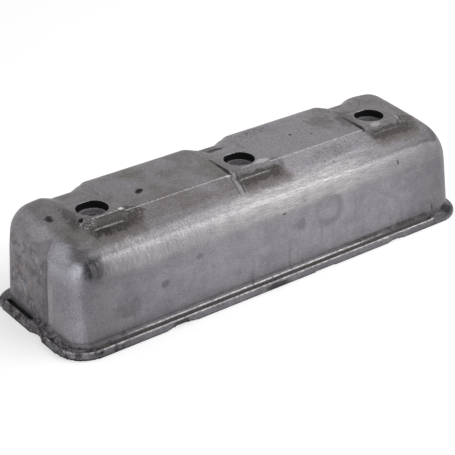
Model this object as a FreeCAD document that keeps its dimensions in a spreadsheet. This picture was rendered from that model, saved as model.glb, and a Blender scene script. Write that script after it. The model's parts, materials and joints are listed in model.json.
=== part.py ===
"""Engine valve cover: one aluminium casting, open below, held down by three studs.

Frame: X along the cover, Y across it, Z up.  The origin is the middle of the gasket face.
"""
import FreeCAD, Part
import math
import os
import Sketcher

NODE = "valve_cover"

SIZES = [
    # gasket flange
    ("flange_length", 450.0),
    ("flange_width", 145.0),
    ("left_corner", 29.2),
    ("right_corner", 33.0),
    ("pinched_corner", 22.0),
    ("pinch_depth", 6.0),
    ("pinch_length", 35.0),
    ("flange_height", 7.9),
    ("skirt_edge", 3.2),
    ("skirt_run", 5.0),
    ("rim_left_end", 24.0),
    ("rim_right_end", 181.0),
    ("rim_fade", 10.0),
    ("lip_width", 2.6),
    ("groove_width", 3.8),
    ("groove_depth", 2.2),
    ("groove_start", 28.0),
    ("groove_end", 177.0),
    ("gap_width", 4.0),
    ("gap_clearance", 0.3),
    ("gap_length", 42.0),
    ("gap_centre", 27.0),
    ("gap_depth", 4.6),
    # walls and roof
    ("wall_inset", 9.1),
    ("end_draft", 2.8),
    ("back_draft", 2.8),
    ("front_draft", 5.8),
    ("wall_thickness", 4.2),
    ("crease_offset", 18.5),
    ("crease_height", 93.0),
    ("back_tilt", 4.6),
    ("front_tilt", 10.0),
    ("front_radius", 33.0),
    ("back_radius", 24.4),
    ("end_radius", 20.0),
    ("crown_radius", 60.0),
    ("panel_rise", 2.2),
    ("panel_bevel", 18.0),
    ("panel_drop", 3.9),
    # stud bosses
    ("stud_pitch", 156.0),
    ("pad_height", 97.5),
    ("boss_left", 23.5),
    ("boss_right", 20.5),
    ("boss_front", 28.0),
    ("boss_back", 16.0),
    ("boss_neck", 10.0),
    ("boss_taper", 4.0),
    ("boss_left_corner", 2.0),
    ("boss_right_corner", 11.0),
    ("boss_back_corner", 6.0),
    ("boss_depth", 12.0),
    ("facet_start", 17.6),
    ("facet_tilt", 24.0),
    ("spot_face", 46.0),
    ("recess_bore", 28.4),
    ("recess_depth", 9.0),
    ("stud_bore", 11.0),
    ("post_wall", 4.0),
    ("post_floor", 6.5),
    # broken front corner of the left boss
    ("break_start", 2.0),
    ("break_across", 12.2),
    ("break_along", 14.8),
    ("break_tilt", 24.0),
    ("break_depth", 4.8),
    ("break_head", 2.0),
    ("break_margin", 0.5),
    # scoops that run from the bosses over the back edge
    ("scoop_start", 10.0),
    ("scoop_tilt", 8.0),
    ("scoop_radius", 27.0),
    ("scoop_floor", 22.0),
    ("scoop_shift", -2.0),
    ("scoop_left_ramp", 18.0),
    ("scoop_right_ramp", 13.0),
    ("scoop_rise", 6.5),
    ("scoop_run_out", 1.0),
    # worn scallops in the flange edge
    ("scallop_height", 6.0),
    ("front_scallop_place", -115.5),
    ("front_scallop_length", 32.0),
    ("front_scallop_depth", 3.0),
    ("middle_scallop_place", 44.0),
    ("middle_scallop_length", 34.0),
    ("middle_scallop_depth", 1.0),
    ("right_scallop_place", 131.0),
    ("right_scallop_length", 20.0),
    ("right_scallop_depth", 2.0),
    ("end_scallop_place", -10.6),
    ("end_scallop_length", 18.0),
    ("end_scallop_depth", 2.6),
]

doc = FreeCAD.newDocument("ValveCover")
sheet = doc.addObject("Spreadsheet::Sheet", "sheet")
for row, (alias, number) in enumerate(SIZES, start=1):
    sheet.set(f"A{row}", alias)
    sheet.set(f"B{row}", str(number))
    sheet.setAlias(f"B{row}", alias)
doc.recompute()

# Lengths that several pieces share, worked out from the sheet.
HALF_LENGTH = "(sheet.flange_length / 2)"
HALF_WIDTH = "(sheet.flange_width / 2)"
END_LEAN = "tan(sheet.end_draft * 1 deg)"
BACK_LEAN = "tan(sheet.back_draft * 1 deg)"
FRONT_LEAN = "tan(sheet.front_draft * 1 deg)"
BACK_SLOPE = "tan(sheet.back_tilt * 1 deg)"
FRONT_SLOPE = "tan(sheet.front_tilt * 1 deg)"
END_FOOT = f"({HALF_LENGTH} - sheet.wall_inset + sheet.flange_height * {END_LEAN})"
BACK_FOOT = f"({HALF_WIDTH} - sheet.wall_inset + sheet.flange_height * {BACK_LEAN})"
FRONT_FOOT = f"({HALF_WIDTH} - sheet.wall_inset + sheet.flange_height * {FRONT_LEAN})"
SKY = "(sheet.pad_height * 1.5)"


def value(formula):
    """The number that a formula of the sheet gives now."""
    result = sheet.evalExpression(formula)
    return float(getattr(result, "Value", result))


def sketch_on(body, name, role, level=None):
    """A new sketch on one of the body's origin planes, moved along its normal by level."""
    sketch = body.newObject("Sketcher::SketchObject", name)
    plane = [feature for feature in body.Origin.OriginFeatures if feature.Role == role][0]
    sketch.AttachmentSupport = [(plane, "")]
    sketch.MapMode = "FlatFace"
    if level:
        sketch.setExpression("AttachmentOffset.Base.z", level)
    return sketch


def bind(sketch, constraint, formula):
    """Add a dimension to the sketch and bind it to a formula."""
    index = sketch.addConstraint(constraint)
    sketch.setExpression(f"Constraints[{index}]", formula)


def pin(sketch, geometry, end, across, up):
    """Hold one end of a line at two formulas."""
    bind(sketch, Sketcher.Constraint("DistanceX", -1, 1, geometry, end, value(across)), across)
    bind(sketch, Sketcher.Constraint("DistanceY", -1, 1, geometry, end, value(up)), up)


def trace(sketch, corners):
    """Closed outline, counterclockwise, through corners of two formulas each.

    A third formula gives a corner its radius.  The straight sides still aim at the sharp
    corner, which stays in the sketch as a construction point.
    """
    count = len(corners)
    spots = [FreeCAD.Vector(value(corner[0]), value(corner[1]), 0) for corner in corners]
    bends = [value(corner[2]) if len(corner) > 2 else 0 for corner in corners]
    headings = []
    for number in range(count):
        run = spots[(number + 1) % count] - spots[number]
        headings.append(math.atan2(run.y, run.x))
    turns = [math.remainder(headings[n] - headings[n - 1], 2 * math.pi) for n in range(count)]
    cuts = [bends[n] * math.tan(abs(turns[n]) / 2) for n in range(count)]
    ways = [FreeCAD.Vector(math.cos(angle), math.sin(angle), 0) for angle in headings]
    lines = []
    for number in range(count):
        start = spots[number] + ways[number] * cuts[number]
        end = spots[(number + 1) % count] - ways[number] * cuts[(number + 1) % count]
        lines.append(sketch.addGeometry(Part.LineSegment(start, end), False))
    for number in range(count):
        if bends[number]:
            continue
        sketch.addConstraint(Sketcher.Constraint("Coincident", lines[number - 1], 2, lines[number], 1))
        pin(sketch, lines[number], 1, *corners[number])
    for number in range(count):
        if not bends[number]:
            continue
        side = math.copysign(1, turns[number])
        inward = FreeCAD.Vector(-ways[number].y, ways[number].x, 0) * side
        centre = spots[number] + ways[number] * cuts[number] + inward * bends[number]
        circle = Part.Circle(centre, FreeCAD.Vector(0, 0, 1), bends[number])
        angles = sorted(headings[number - 1] - side * math.pi / 2 + turn for turn in (0, turns[number]))
        arc = sketch.addGeometry(Part.ArcOfCircle(circle, *angles), False)
        sharp = sketch.addGeometry(Part.Point(spots[number]), True)
        pin(sketch, sharp, 1, *corners[number][:2])
        for line in (lines[number - 1], lines[number]):
            sketch.addConstraint(Sketcher.Constraint("PointOnObject", sharp, 1, line))
        arrive, leave = (1, 2) if side > 0 else (2, 1)
        sketch.addConstraint(Sketcher.Constraint("Tangent", lines[number - 1], 2, arc, arrive))
        sketch.addConstraint(Sketcher.Constraint("Tangent", arc, leave, lines[number], 1))
        radius = Sketcher.Constraint("Radius", arc, bends[number])
        bind(sketch, radius, corners[number][2])


def disc(sketch, across, up, diameter):
    """A circle whose centre and diameter are formulas."""
    centre = FreeCAD.Vector(value(across), value(up), 0)
    index = sketch.addGeometry(Part.Circle(centre, FreeCAD.Vector(0, 0, 1), value(diameter) / 2), False)
    pin(sketch, index, 3, across, up)
    bind(sketch, Sketcher.Constraint("Diameter", index, value(diameter)), diameter)


def grow(body, name, sketch, length, symmetric=False):
    """Pad a sketch."""
    pad = body.newObject("PartDesign::Pad", name)
    pad.Profile = sketch
    pad.SideType = "Symmetric" if symmetric else "One side"
    pad.setExpression("Length", length)
    sketch.Visibility = False
    return pad


def sink(body, name, sketch, length, symmetric=False, upward=False):
    """Pocket a sketch."""
    pocket = body.newObject("PartDesign::Pocket", name)
    pocket.Profile = sketch
    pocket.SideType = "Symmetric" if symmetric else "One side"
    pocket.setExpression("Length", length)
    pocket.Reversed = upward
    return pocket


def blend(body, name, radius, chosen):
    """Round the edges of the body that the test chosen picks."""
    doc.recompute()
    base = body.Tip
    edges = base.Shape.Edges
    picked = [f"Edge{number}" for number, edge in enumerate(edges, start=1) if chosen(edge)]
    if not picked:
        raise RuntimeError(f"{name} finds no edge to round")
    fillet = body.newObject("PartDesign::Fillet", name)
    fillet.Base = (base, picked)
    fillet.setExpression("Radius", radius)
    return fillet


def back_edge(skin, lift):
    """Where the roof, lifted or set in, would meet the leaning back wall without its round."""
    foot = f"({BACK_FOOT} - {skin} / cos(sheet.back_draft * 1 deg))"
    rise = f"((sheet.crease_height - {skin} + {lift} + (sheet.crease_offset + {foot}) * {BACK_SLOPE})" \
           f" / (1 + {BACK_SLOPE} * {BACK_LEAN}))"
    return f"({foot} - {rise} * {BACK_LEAN})", rise, f"(sheet.back_radius - {skin})"


def shell_block(body, skin):
    """Walls and roof as one solid block, set in from the outer skin by a formula."""
    end_foot = f"({END_FOOT} - {skin} / cos(sheet.end_draft * 1 deg))"
    back_foot = f"({BACK_FOOT} - {skin} / cos(sheet.back_draft * 1 deg))"
    front_foot = f"({FRONT_FOOT} - {skin} / cos(sheet.front_draft * 1 deg))"
    crease = f"(sheet.crease_height - {skin})"
    front_rise = f"(({crease} - ({front_foot} - sheet.crease_offset) * {FRONT_SLOPE})" \
                 f" / (1 - {FRONT_SLOPE} * {FRONT_LEAN}))"
    section = sketch_on(body, body.Name + "_section", "YZ_Plane")
    trace(section, [
        (f"-{front_foot}", "0"),
        (back_foot, "0"),
        back_edge(skin, "0"),
        ("-sheet.crease_offset", crease, f"(sheet.crown_radius - {skin})"),
        (f"-({front_foot} - {front_rise} * {FRONT_LEAN})", front_rise, f"(sheet.front_radius - {skin})"),
    ])
    grow(body, body.Name + "_block", section, "sheet.flange_length", symmetric=True)
    for side_name, sign in (("left", "-"), ("right", "")):
        end = sketch_on(body, f"{body.Name}_{side_name}_end", "XZ_Plane")
        trace(end, [
            (f"{sign}{end_foot}", "0"),
            (f"{sign}sheet.flange_length", "0"),
            (f"{sign}sheet.flange_length", SKY),
            (f"{sign}({end_foot} - {SKY} * {END_LEAN})", SKY),
        ])
        sink(body, f"{body.Name}_{side_name}_face", end, "sheet.flange_width * 2", symmetric=True)
    foot = value(end_foot)
    lean = value(END_LEAN)

    def round_end(edge):
        spots = [edge.valueAt(edge.FirstParameter), edge.valueAt(edge.LastParameter)]
        on_wall = all(abs(abs(p.x) - (foot - p.z * lean)) < 0.01 for p in spots)
        return on_wall and max(p.z for p in spots) > 1

    blend(body, body.Name + "_end_rounds", f"sheet.end_radius - {skin}", round_end)


def scoop_section(body, name, station, lift, skin):
    """One cross-section of a scoop: floor, bend, a run-out down the back wall, and sky above."""
    edge = f"({BACK_FOOT} - sheet.pad_height * {BACK_LEAN} - {skin})"
    fall = "tan(sheet.scoop_tilt * 1 deg)"
    drop = f"(({edge} - sheet.scoop_start) * {fall})"
    run_out = f"({BACK_FOOT} - {skin} + sheet.scoop_run_out)"
    section = sketch_on(body, name, "YZ_Plane", station)
    trace(section, [
        ("sheet.scoop_start", SKY),
        ("sheet.scoop_start", f"(sheet.pad_height + {lift})"),
        (edge, f"(sheet.pad_height - {drop} + {lift})", f"(sheet.scoop_radius - {skin})"),
        (run_out, "(sheet.pad_height / 2)"),
        (run_out, SKY),
    ])
    return section


def scoop(body, skin):
    """A channel from the first boss over the back edge, set down and widened by the skin."""
    place = "(-sheet.stud_pitch + sheet.scoop_shift)"
    half_floor = f"(sheet.scoop_floor / 2 + {skin})"
    stations = [
        (f"({place} - {half_floor} - sheet.scoop_left_ramp)", f"(sheet.scoop_rise - {skin})"),
        (f"({place} - {half_floor})", f"(0 - {skin})"),
        (f"({place} + {half_floor})", f"(0 - {skin})"),
        (f"({place} + {half_floor} + sheet.scoop_right_ramp)", f"(sheet.scoop_rise - {skin})"),
    ]
    sections = []
    for number, (station, lift) in enumerate(stations, start=1):
        name = f"{body.Name}_scoop_{number}"
        sections.append(scoop_section(body, name, station, lift, skin))
    doc.recompute()
    loft = body.newObject("PartDesign::SubtractiveLoft", body.Name + "_scoop")
    loft.Profile = sections[0]
    loft.Sections = sections[1:]
    loft.Ruled = True
    return loft


def repeat(body, name, originals, span, count):
    """Copies of features in a row along X."""
    doc.recompute()
    row = body.newObject("PartDesign::LinearPattern", name)
    row.Originals = originals
    axis = [feature for feature in body.Origin.OriginFeatures if feature.Role == "X_Axis"][0]
    row.Direction = (axis, [""])
    row.Mode = "Extent"
    row.setExpression("Length", span)
    row.Occurrences = count
    body.Tip = row
    return row


def stud_bosses(body):
    """Flat pads for the three studs, each with a facet that follows the front slope."""
    first = "-sheet.stud_pitch"
    left = f"({first} - sheet.boss_left)"
    right = f"({first} + sheet.boss_right)"
    plan = sketch_on(body, "boss_plan", "XY_Plane", "sheet.pad_height - sheet.boss_depth")
    trace(plan, [
        (f"({left} + sheet.boss_taper)", "-sheet.boss_front", "sheet.boss_left_corner"),
        (right, "-sheet.boss_front", "sheet.boss_right_corner"),
        (right, "sheet.boss_back", "sheet.boss_back_corner"),
        (left, "sheet.boss_back", "sheet.boss_back_corner"),
        (left, "-sheet.boss_neck"),
    ])
    boss = grow(body, "boss", plan, "sheet.boss_depth")
    side = sketch_on(body, "facet_side", "YZ_Plane", first)
    toe = "(sheet.boss_front + sheet.boss_depth)"
    drop = f"(({toe} - sheet.facet_start) * tan(sheet.facet_tilt * 1 deg))"
    trace(side, [
        ("-sheet.facet_start", "sheet.pad_height"),
        (f"-{toe}", f"(sheet.pad_height - {drop})"),
        (f"-{toe}", f"(sheet.pad_height + {drop})"),
        ("-sheet.facet_start", f"(sheet.pad_height + {drop})"),
    ])
    facet = sink(body, "facet", side, "2 * (sheet.boss_left + sheet.boss_right)", symmetric=True)
    face = sketch_on(body, "spot_face_plan", "XY_Plane", "sheet.pad_height")
    disc(face, first, "0", "sheet.spot_face")
    spot_face = sink(body, "spot_face", face, "sheet.boss_depth", upward=True)
    channel = scoop(body, "0")
    repeat(body, "bosses", [boss, facet, spot_face, channel], "2 * sheet.stud_pitch", 3)


def broken_corner(body):
    """The first boss lacks its left front corner: the pad falls away there in a slanting break."""
    left = "(-sheet.stud_pitch - sheet.boss_left)"
    outside = f"({left} - sheet.break_margin)"
    front = "(sheet.boss_front + sheet.break_margin)"
    edge = "sqrt(sheet.break_across * sheet.break_across + sheet.break_along * sheet.break_along)"
    sections = []
    for name, rise in (("head", "sheet.break_head"), ("foot", "-sheet.break_depth")):
        shift = f"({rise} / tan(sheet.break_tilt * 1 deg) * {edge})"
        inset = f"({shift} + sheet.break_margin * sheet.break_along)"
        back = f"({inset} / sheet.break_across - sheet.break_start)"
        reach = f"(({shift} + ({front} - sheet.break_start) * sheet.break_across) / sheet.break_along)"
        plan = sketch_on(body, f"break_{name}", "XY_Plane", f"(sheet.pad_height + {rise})")
        trace(plan, [
            (outside, f"-{front}"),
            (f"({left} + {reach})", f"-{front}"),
            (outside, back),
        ])
        sections.append(plan)
    doc.recompute()
    loss = body.newObject("PartDesign::SubtractiveLoft", "broken_corner")
    loss.Profile = sections[0]
    loss.Sections = sections[1:]
    loss.Ruled = True
    body.Tip = loss


def roof_panels(body):
    """Roof panels between the bosses, raised from the front round over the crease to the back."""
    middle = "(-sheet.stud_pitch / 2 + (sheet.boss_right - sheet.boss_left) / 2)"
    root = "(sheet.pad_height / 2)"
    section = sketch_on(body, "panel_section", "YZ_Plane", middle)
    trace(section, [
        ("-sheet.crease_offset", root),
        (f"({BACK_FOOT} - {root} * {BACK_LEAN})", root),
        back_edge("0", "sheet.panel_rise"),
        ("-sheet.crease_offset", "(sheet.crease_height + sheet.panel_rise)"),
        ("-(sheet.crease_offset + sheet.panel_bevel)", "(sheet.crease_height - sheet.panel_drop)"),
    ])
    length = "sheet.stud_pitch - sheet.boss_left - sheet.boss_right"
    panel = grow(body, "panel", section, length, symmetric=True)
    repeat(body, "panels", [panel], "sheet.stud_pitch", 2)


def flange_plan(body, name, inset, level=None):
    """The flange's outline, set in from its edge by a formula."""
    sketch = sketch_on(body, name, "XY_Plane", level)
    across = f"({HALF_LENGTH} - {inset})"
    up = f"({HALF_WIDTH} - {inset})"
    trace(sketch, [
        (f"-{across}", f"-{up}", f"(sheet.left_corner - {inset})"),
        (across, f"-{up}", f"(sheet.right_corner - {inset})"),
        (across, up, f"(sheet.right_corner - {inset})"),
        (f"-({across} - sheet.pinch_length)", up),
        (f"-{across}", f"({up} - sheet.pinch_depth)", f"(sheet.pinched_corner - {inset})"),
    ])
    return sketch


def flange(body):
    """Gasket flange: a skirt that slopes down to a thin edge, and a full rim in front."""
    grow(body, "skirt_foot", flange_plan(body, "skirt_foot_plan", "0"), "sheet.skirt_edge")
    skirt_bottom = flange_plan(body, "skirt_bottom", "0", "sheet.skirt_edge")
    skirt_top = flange_plan(body, "skirt_top", "sheet.skirt_run", "sheet.flange_height")
    doc.recompute()
    skirt = body.newObject("PartDesign::AdditiveLoft", "skirt")
    skirt.Profile = skirt_bottom
    skirt.Sections = [skirt_top]
    skirt.Ruled = True
    rim = sketch_on(body, "front_rim_plan", "XY_Plane")
    wall = f"({HALF_LENGTH} - sheet.wall_inset)"
    front_wall = f"({HALF_WIDTH} - sheet.wall_inset)"
    trace(rim, [
        (f"-{HALF_LENGTH}", f"-{HALF_WIDTH}", "sheet.left_corner"),
        ("sheet.rim_right_end", f"-{HALF_WIDTH}"),
        ("(sheet.rim_right_end + sheet.rim_fade)", f"-{front_wall}"),
        (f"-{wall}", f"-{front_wall}"),
        (f"-{wall}", "-(sheet.rim_left_end - sheet.rim_fade)"),
        (f"-{HALF_LENGTH}", "-sheet.rim_left_end"),
    ])
    grow(body, "front_rim", rim, "sheet.flange_height")
    groove = sketch_on(body, "groove_plan", "XY_Plane", "sheet.flange_height")
    inner = "(sheet.lip_width + sheet.groove_width)"
    trace(groove, [
        (f"-({HALF_LENGTH} - sheet.lip_width)", f"-({HALF_WIDTH} - sheet.lip_width)",
         "(sheet.left_corner - sheet.lip_width)"),
        ("sheet.groove_end", f"-({HALF_WIDTH} - sheet.lip_width)"),
        ("sheet.groove_end", f"-({HALF_WIDTH} - {inner})"),
        (f"-({HALF_LENGTH} - {inner})", f"-({HALF_WIDTH} - {inner})",
         f"(sheet.left_corner - {inner})"),
        (f"-({HALF_LENGTH} - {inner})", "-sheet.groove_start"),
        (f"-({HALF_LENGTH} - sheet.lip_width)", "-sheet.groove_start"),
    ])
    sink(body, "groove", groove, "sheet.groove_depth")
    gap = sketch_on(body, "gap_plan", "XY_Plane", "sheet.flange_height")
    trace(gap, [
        (f"-({wall} + sheet.gap_width)", "sheet.gap_centre - sheet.gap_length / 2"),
        (f"-({wall} + sheet.gap_clearance)", "sheet.gap_centre - sheet.gap_length / 2"),
        (f"-({wall} + sheet.gap_clearance)", "sheet.gap_centre + sheet.gap_length / 2"),
        (f"-({wall} + sheet.gap_width)", "sheet.gap_centre + sheet.gap_length / 2"),
    ])
    sink(body, "gap", gap, "sheet.gap_depth")


def scallops(body):
    """Shallow round bites in the lower part of the flange's edge."""
    for name in ("front", "middle", "right", "end"):
        length = f"sheet.{name}_scallop_length"
        depth = f"sheet.{name}_scallop_depth"
        place = f"sheet.{name}_scallop_place"
        radius = f"(({length} * {length} / 4 + {depth} * {depth}) / (2 * {depth}))"
        plan = sketch_on(body, f"{name}_scallop_plan", "XY_Plane")
        if name == "end":
            disc(plan, f"-({HALF_LENGTH} - {depth} + {radius})", place, f"2 * {radius}")
        else:
            disc(plan, place, f"-({HALF_WIDTH} - {depth} + {radius})", f"2 * {radius}")
        sink(body, f"{name}_scallop", plan, "sheet.scallop_height", upward=True)


def stud_posts(body):
    """Posts under the pads, with the recess for each nut and the bore for each stud."""
    first = "-sheet.stud_pitch"
    foot = "(sheet.pad_height - sheet.recess_depth - sheet.post_floor)"
    head = "(sheet.pad_height - sheet.wall_thickness)"
    plan = sketch_on(body, "post_plan", "XY_Plane", foot)
    disc(plan, first, "0", "sheet.recess_bore + 2 * sheet.post_wall")
    post = grow(body, "post", plan, f"{head} - {foot}")
    mouth = sketch_on(body, "recess_plan", "XY_Plane", "sheet.pad_height")
    disc(mouth, first, "0", "sheet.recess_bore")
    recess = sink(body, "recess", mouth, "sheet.recess_depth")
    hole = sketch_on(body, "stud_plan", "XY_Plane", "sheet.pad_height")
    disc(hole, first, "0", "sheet.stud_bore")
    bore = sink(body, "stud", hole, "sheet.pad_height")
    repeat(body, "posts", [post, recess, bore], "2 * sheet.stud_pitch", 3)


def build_cover():
    """The casting: outer block, less the core, with its bosses and flange."""
    cover = doc.addObject("PartDesign::Body", NODE)
    cover.Label = NODE
    core = doc.addObject("PartDesign::Body", "core")
    core.Label = "core"
    shell_block(core, "sheet.wall_thickness")
    hollow_scoop = scoop(core, "sheet.wall_thickness")
    repeat(core, "hollows", [hollow_scoop], "2 * sheet.stud_pitch", 3)
    shell_block(cover, "0")
    roof_panels(cover)
    stud_bosses(cover)
    broken_corner(cover)
    flange(cover)
    scallops(cover)
    doc.recompute()
    hollow = cover.newObject("PartDesign::Boolean", "hollow")
    hollow.Type = "Cut"
    hollow.addObject(core)
    cover.Tip = hollow
    stud_posts(cover)
    return cover


def check_and_write(parts):
    """Stop on any failed feature, then write each sub-part's STEP file."""
    doc.recompute()
    for item in doc.Objects:
        if {"Invalid", "Error"} & set(item.State):
            raise RuntimeError(f"{item.Name} failed: {item.State}")
    os.makedirs("parts", exist_ok=True)
    for part in parts:
        if part.Shape.isNull() or not part.Shape.isValid():
            raise RuntimeError(f"{part.Label} has no valid shape")
        part.Shape.exportStep(f"parts/{part.Label}.step")
        box = part.Shape.BoundBox
        print(part.Label, "solids", len(part.Shape.Solids), "volume", round(part.Shape.Volume),
              "box", [round(v, 2) for v in (box.XMin, box.XMax, box.YMin, box.YMax, box.ZMin, box.ZMax)])


check_and_write([build_cover()])
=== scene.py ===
"""Engine valve cover: the looks of one worn aluminium casting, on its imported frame.

Sizes are in metres, in the frame of the construction model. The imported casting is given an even
mesh, its damage and a slightly uneven skin. Two finishes share the same metal: one for the roof,
one for the walls and the flange.
"""
import json
import math

import bmesh
import bpy
import numpy as np
from mathutils import Matrix, Vector, noise


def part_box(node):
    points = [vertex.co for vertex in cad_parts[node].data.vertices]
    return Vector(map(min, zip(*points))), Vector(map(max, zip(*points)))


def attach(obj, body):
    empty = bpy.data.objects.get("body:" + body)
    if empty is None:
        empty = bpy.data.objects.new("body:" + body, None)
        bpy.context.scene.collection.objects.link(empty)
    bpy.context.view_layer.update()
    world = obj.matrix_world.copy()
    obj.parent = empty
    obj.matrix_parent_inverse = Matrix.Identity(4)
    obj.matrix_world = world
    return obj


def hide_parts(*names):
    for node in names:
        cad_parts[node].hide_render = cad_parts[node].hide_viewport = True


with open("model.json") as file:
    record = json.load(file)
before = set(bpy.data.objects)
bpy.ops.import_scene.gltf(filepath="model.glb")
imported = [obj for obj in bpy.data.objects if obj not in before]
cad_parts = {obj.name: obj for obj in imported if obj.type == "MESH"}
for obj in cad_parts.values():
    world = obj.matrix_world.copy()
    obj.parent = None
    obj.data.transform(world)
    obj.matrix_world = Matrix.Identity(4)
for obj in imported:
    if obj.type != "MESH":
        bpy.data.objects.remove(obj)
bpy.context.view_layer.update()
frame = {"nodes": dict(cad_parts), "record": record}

NODE = "valve_cover"
LOW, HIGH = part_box(NODE)
STUDS = sorted(
    mount["pos_m"][0] for mount in frame["record"]["mounts"] if mount["name"].startswith("stud_bore")
)
PITCH = STUDS[1] - STUDS[0]

# Places on the casting. Those of a pad are from the middle of its stud.
CREASE_Y = -0.0185
PAD_LEFT, PAD_RIGHT = -0.0235, 0.0205
PAD_FRONT, RIDGE_Y = -0.0176, -0.0280
PAD_TOP, SEAT = 0.0975, 0.0885
RECESS = 0.0142
FLANGE_TOP = 0.0079
LIP_Y, GROOVE_Y, FOOT_Y = LOW.y + 0.0013, LOW.y + 0.0045, LOW.y + 0.0078
WALL_CORNER = (LOW.x + 0.0291, LOW.y + 0.0291)

# The slanting break at the first pad: where its edge starts, which way it runs, how it slopes.
BREAK_START = Vector((STUDS[0] + PAD_LEFT, -0.0020))
BREAK_EDGE = Vector((0.0122, -0.0148)).normalized()
BREAK_SLOPE = math.tan(math.radians(24.0))
BREAK_PIT = (STUDS[0] - 0.0182, -0.0118)

# The raised seam beside the middle pad.
SEAM_START = (STUDS[1] - 0.0222, -0.0190)
SEAM_END = (STUDS[1] - 0.0280, -0.0430)
SEAM_HEIGHT = 0.00035

# Gas pits in the roof and the front slope: x, y, radius, depth.
PITS = [
    (-0.1062, 0.0029, 0.0028, 0.0009),
    (-0.1095, 0.0012, 0.0020, 0.0006),
    (0.0679, 0.0110, 0.0014, 0.0009),
    (0.0860, 0.0020, 0.0012, 0.0007),
    (0.0769, -0.0419, 0.0015, 0.0012),
    (0.0690, -0.0380, 0.0011, 0.0007),
    (0.0098, -0.0441, 0.0018, 0.0006),
    (0.1633, -0.0445, 0.0013, 0.0007),
    (0.1442, -0.0556, 0.0022, 0.0007),
    (0.0064, -0.0578, 0.0018, 0.0006),
    (-0.1924, 0.0113, 0.0028, 0.0006),
    (-0.1930, 0.0070, 0.0022, 0.0005),
]

# The cast skin: size of its faces, most triangles, and how far it is worked.
VOXEL = 0.0010
TRIANGLES = 190000
CUT_FACE = 0.0012
END_EASE = 0.0030
CREASE_DEPTH = 0.0011
CORNER_TURN = 0.0028
SKIN_WAVE = 0.0004
WAVES = ((24.0, 1.0), (85.0, 0.5), (260.0, 0.22))
BEND_TURNS = 8
FULL_BEND = 0.0009
ROOF_LINE = 0.080


def smooth_step(low, high, value):
    """0 below low, 1 above high, smooth between."""
    part = np.clip((value - low) / (high - low), 0.0, 1.0)
    return part * part * (3.0 - 2.0 * part)


def bell(value, width):
    """1 at zero, falling smoothly to 0 at the width."""
    return 1.0 - smooth_step(0.0, width, np.abs(value))


def math_node(tree, operation, *terms):
    """Work out sockets and numbers in a node tree; the result is a socket."""
    made = tree.nodes.new("ShaderNodeMath")
    made.operation = operation
    for socket, term in zip(made.inputs, terms):
        if isinstance(term, bpy.types.NodeSocket):
            tree.links.new(term, socket)
        else:
            socket.default_value = term
    return made.outputs[0]


# ---------------------------------------------------------------- the cast skin


def merged_copy(node):
    """The node's mesh with its loose triangles joined, as an object of its own."""
    mesh = frame["nodes"][node].data.copy()
    mesh.materials.clear()
    built = bmesh.new()
    built.from_mesh(mesh)
    bmesh.ops.remove_doubles(built, verts=built.verts, dist=1e-6)
    built.to_mesh(mesh)
    built.free()
    obj = bpy.data.objects.new("casting", mesh)
    bpy.context.scene.collection.objects.link(obj)
    return obj


def bake(obj):
    """Turn the object's modifiers into its mesh."""
    graph = bpy.context.evaluated_depsgraph_get()
    mesh = bpy.data.meshes.new_from_object(obj.evaluated_get(graph))
    obj.modifiers.clear()
    obj.data = mesh


def points_of(mesh):
    points = np.empty(len(mesh.vertices) * 3, np.float32)
    mesh.vertices.foreach_get("co", points)
    return points.reshape(-1, 3).astype(float)


def normals_of(mesh):
    normals = np.empty(len(mesh.vertices) * 3, np.float32)
    mesh.vertices.foreach_get("normal", normals)
    return normals.reshape(-1, 3).astype(float)


def place(mesh, points):
    mesh.vertices.foreach_set("co", points.astype(np.float32).ravel())
    mesh.update()


def neighbour_mean(edges, field):
    """The mean of a field of points over each vertex's neighbours."""
    count = len(field)
    degree = np.bincount(edges.ravel(), minlength=count)[:, None]
    columns = []
    for column in field.T:
        there = np.bincount(edges[:, 0], column[edges[:, 1]], count)
        back = np.bincount(edges[:, 1], column[edges[:, 0]], count)
        columns.append(there + back)
    return np.stack(columns, axis=1) / np.maximum(degree, 1)


def edges_of(mesh):
    edges = np.empty(len(mesh.edges) * 2, np.int32)
    mesh.edges.foreach_get("vertices", edges)
    return edges.reshape(-1, 2)


def store(mesh, name, values):
    """Keep one number for each vertex under a name."""
    layer = mesh.attributes.new(name, "FLOAT", "POINT")
    layer.data.foreach_set("value", values.astype(np.float32))


def soften(points, edges, keep_flat):
    """Blunt the edges of the casting, except on the faces that a cutter left flat."""
    for _ in range(2):
        move = 0.5 * (neighbour_mean(edges, points) - points)
        points = points + move * (1.0 - keep_flat[:, None])
    return points


def ease_ends(points):
    """Both ends of the roof sink a little towards the end walls, as the castings do."""
    x, z = points[:, 0], points[:, 2]
    share = smooth_step(0.176, 0.213, np.abs(x)) * smooth_step(0.050, 0.092, z)
    points[:, 0] -= np.sign(x) * share * END_EASE * 0.55
    points[:, 2] -= share * END_EASE * 0.85
    return points


def break_share(points):
    """1 on the slanting break at the front left corner of the first pad."""
    relative = points[:, :2] - np.array(BREAK_START)
    outward = relative[:, 0] * BREAK_EDGE.y - relative[:, 1] * BREAK_EDGE.x
    slant = PAD_TOP - outward * BREAK_SLOPE
    near = bell(points[:, 2] - slant, 0.0016)
    plan = smooth_step(-0.0010, 0.0010, outward) * smooth_step(0.0170, 0.0130, outward)
    side = smooth_step(PAD_LEFT - 0.0020, PAD_LEFT, points[:, 0] - STUDS[0])
    front = smooth_step(RIDGE_Y - 0.0020, RIDGE_Y, points[:, 1])
    return near * plan * side * front


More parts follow.
